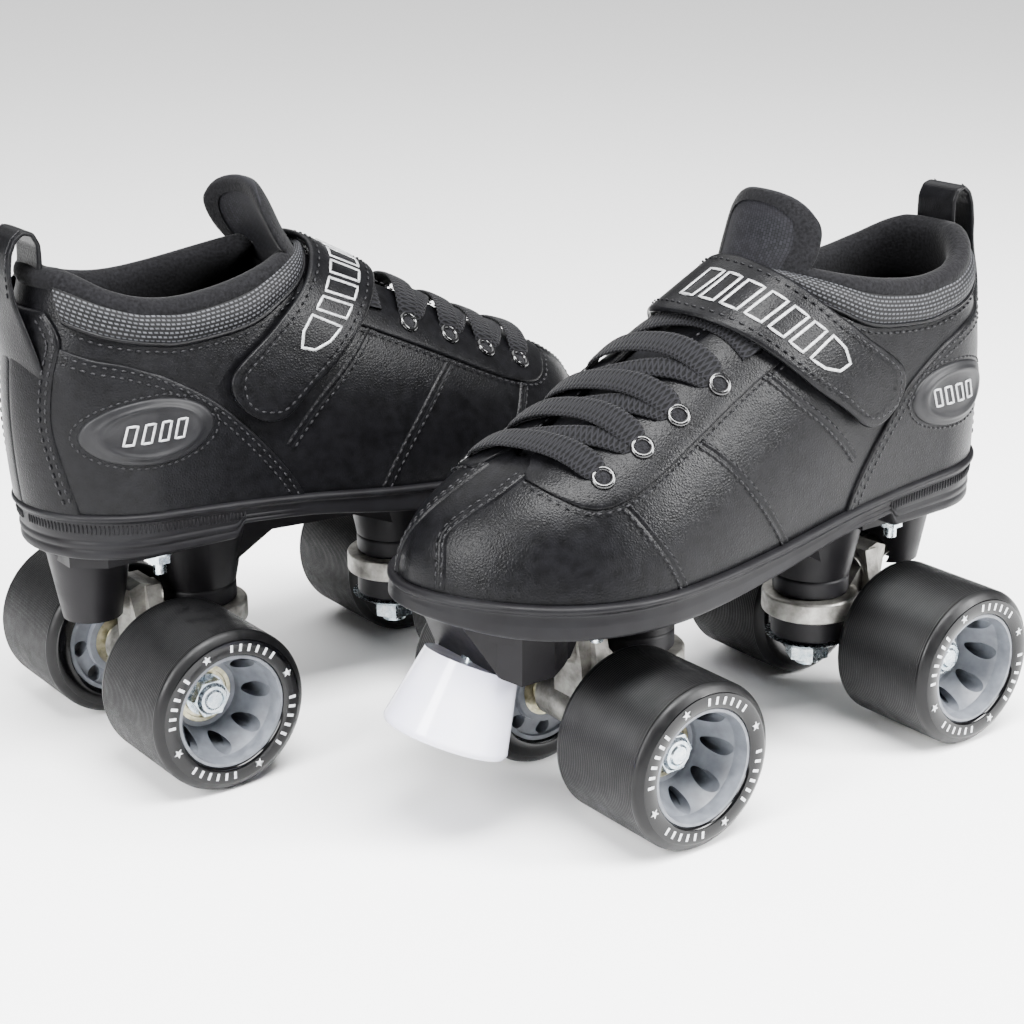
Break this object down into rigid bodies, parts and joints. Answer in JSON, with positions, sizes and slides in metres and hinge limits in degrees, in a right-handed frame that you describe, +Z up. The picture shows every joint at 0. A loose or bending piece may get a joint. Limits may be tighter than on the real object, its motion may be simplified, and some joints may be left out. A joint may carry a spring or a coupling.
{
  "type": "quad roller skates",
  "caption": "Pair of low-cut quad roller skates: laced boots with instep straps on plates with sprung trucks, bearing wheels and toe stops.",
  "frame": {"origin": "on the ground, at the middle of the bounding box of the pair", "axes": "+Z up; +X along both skates, the way the right skate points (the left skate points to -X); +Y from the left skate towards the right skate"},
  "size_m": [0.3426, 0.2716, 0.2105],
  "materials": {
    "urethane": "cast urethane, lathe-cut tread",
    "core_nylon": "moulded grey nylon",
    "bearing_steel": "ground steel races",
    "cast_aluminium": "cast and tumbled aluminium",
    "zinc_steel": "bright zinc-plated steel",
    "cushion_rubber": "moulded black urethane rubber",
    "plate_nylon": "moulded glass-filled nylon",
    "stop_rubber": "gloss moulded white rubber",
    "sole_rubber": "moulded matte rubber",
    "boot_leather": "soft-sheen fine-grain leather",
    "lining_textile": "brushed black lining",
    "tongue_textile": "woven black textile over foam",
    "lace_textile": "flat braided polyester",
    "eyelet_lacquer": "gloss black lacquer"
  },
  "bodies": {
    "left_boot": {"left_front_cushions": "cushion_rubber", "left_rear_cushions": "cushion_rubber", "left_kingpins": "zinc_steel", "left_pivot_cups": "cushion_rubber", "left_plate": "plate_nylon", "left_fasteners": "zinc_steel", "left_toe_stop": "stop_rubber", "left_outsole": "sole_rubber", "left_upper": "boot_leather", "left_footbed": "lining_textile", "left_collar": "lining_textile", "left_tongue": "tongue_textile", "left_lace": "lace_textile", "left_eyelets": "eyelet_lacquer", "left_heel_loop": "boot_leather"},
    "left_front_truck": {"left_front_hanger": "cast_aluminium", "left_front_axle": "zinc_steel", "left_front_bearings": "bearing_steel"},
    "left_front_outer_wheel": {"left_front_outer_tyre": "urethane", "left_front_outer_hub": "core_nylon"},
    "left_front_inner_wheel": {"left_front_inner_tyre": "urethane", "left_front_inner_hub": "core_nylon"},
    "left_rear_truck": {"left_rear_hanger": "cast_aluminium", "left_rear_axle": "zinc_steel", "left_rear_bearings": "bearing_steel"},
    "left_rear_outer_wheel": {"left_rear_outer_tyre": "urethane", "left_rear_outer_hub": "core_nylon"},
    "left_rear_inner_wheel": {"left_rear_inner_tyre": "urethane", "left_rear_inner_hub": "core_nylon"},
    "left_strap": {"left_strap": "boot_leather"},
    "right_boot": {"right_front_cushions": "cushion_rubber", "right_rear_cushions": "cushion_rubber", "right_kingpins": "zinc_steel", "right_pivot_cups": "cushion_rubber", "right_plate": "plate_nylon", "right_fasteners": "zinc_steel", "right_toe_stop": "stop_rubber", "right_outsole": "sole_rubber", "right_upper": "boot_leather", "right_footbed": "lining_textile", "right_collar": "lining_textile", "right_tongue": "tongue_textile", "right_lace": "lace_textile", "right_eyelets": "eyelet_lacquer", "right_heel_loop": "boot_leather"},
    "right_front_truck": {"right_front_hanger": "cast_aluminium", "right_front_axle": "zinc_steel", "right_front_bearings": "bearing_steel"},
    "right_front_outer_wheel": {"right_front_outer_tyre": "urethane", "right_front_outer_hub": "core_nylon"},
    "right_front_inner_wheel": {"right_front_inner_tyre": "urethane", "right_front_inner_hub": "core_nylon"},
    "right_rear_truck": {"right_rear_hanger": "cast_aluminium", "right_rear_axle": "zinc_steel", "right_rear_bearings": "bearing_steel"},
    "right_rear_outer_wheel": {"right_rear_outer_tyre": "urethane", "right_rear_outer_hub": "core_nylon"},
    "right_rear_inner_wheel": {"right_rear_inner_tyre": "urethane", "right_rear_inner_hub": "core_nylon"},
    "right_strap": {"right_strap": "boot_leather"}
  },
  "joints": [
    {"name": "left_front_truck_lean", "type": "hinge", "parent": "left_boot", "child": "left_front_truck", "pos_m": [-0.0395, -0.0693, 0.0629], "axis": [-0.9336, 0, 0.3582], "range_deg": [-8, 8], "stiffness_Nm_per_rad": 45, "deforming": ["left_front_cushions"]},
    {"name": "left_front_outer_wheel_spin", "type": "hinge", "parent": "left_front_truck", "child": "left_front_outer_wheel", "pos_m": [-0.0175, -0.1128, 0.031], "axis": [0, 1, 0], "continuous": true},
    {"name": "left_front_inner_wheel_spin", "type": "hinge", "parent": "left_front_truck", "child": "left_front_inner_wheel", "pos_m": [-0.0175, -0.0258, 0.031], "axis": [0, 1, 0], "continuous": true},
    {"name": "left_rear_truck_lean", "type": "hinge", "parent": "left_boot", "child": "left_rear_truck", "pos_m": [0.1445, -0.0693, 0.0629], "axis": [0.9336, 0, 0.3582], "range_deg": [-8, 8], "stiffness_Nm_per_rad": 45, "deforming": ["left_rear_cushions"]},
    {"name": "left_rear_outer_wheel_spin", "type": "hinge", "parent": "left_rear_truck", "child": "left_rear_outer_wheel", "pos_m": [0.1225, -0.1128, 0.031], "axis": [0, 1, 0], "continuous": true},
    {"name": "left_rear_inner_wheel_spin", "type": "hinge", "parent": "left_rear_truck", "child": "left_rear_inner_wheel", "pos_m": [0.1225, -0.0258, 0.031], "axis": [0, 1, 0], "continuous": true},
    {"name": "left_strap_open", "type": "hinge", "parent": "left_boot", "child": "left_strap", "pos_m": [0.0625, -0.0313, 0.1385], "axis": [-0.8848, 0, -0.4659], "range_deg": [0, 28]},
    {"name": "right_front_truck_lean", "type": "hinge", "parent": "right_boot", "child": "right_front_truck", "pos_m": [0.0395, 0.0693, 0.0629], "axis": [-0.9336, 0, -0.3582], "range_deg": [-8, 8], "stiffness_Nm_per_rad": 45, "deforming": ["right_front_cushions"]},
    {"name": "right_front_outer_wheel_spin", "type": "hinge", "parent": "right_front_truck", "child": "right_front_outer_wheel", "pos_m": [0.0175, 0.0258, 0.031], "axis": [0, 1, 0], "continuous": true},
    {"name": "right_front_inner_wheel_spin", "type": "hinge", "parent": "right_front_truck", "child": "right_front_inner_wheel", "pos_m": [0.0175, 0.1128, 0.031], "axis": [0, 1, 0], "continuous": true},
    {"name": "right_rear_truck_lean", "type": "hinge", "parent": "right_boot", "child": "right_rear_truck", "pos_m": [-0.1445, 0.0693, 0.0629], "axis": [0.9336, 0, -0.3582], "range_deg": [-8, 8], "stiffness_Nm_per_rad": 45, "deforming": ["right_rear_cushions"]},
    {"name": "right_rear_outer_wheel_spin", "type": "hinge", "parent": "right_rear_truck", "child": "right_rear_outer_wheel", "pos_m": [-0.1225, 0.0258, 0.031], "axis": [0, 1, 0], "continuous": true},
    {"name": "right_rear_inner_wheel_spin", "type": "hinge", "parent": "right_rear_truck", "child": "right_rear_inner_wheel", "pos_m": [-0.1225, 0.1128, 0.031], "axis": [0, 1, 0], "continuous": true},
    {"name": "right_strap_open", "type": "hinge", "parent": "right_boot", "child": "right_strap", "pos_m": [-0.0625, 0.1073, 0.1385], "axis": [-0.8848, 0, 0.4659], "range_deg": [0, 28]},
    {"name": "right_skate_lift", "type": "slide", "parent": "left_boot", "child": "right_boot", "axis": [0, 0, 1], "range_m": [0, 0.3]}
  ]
}
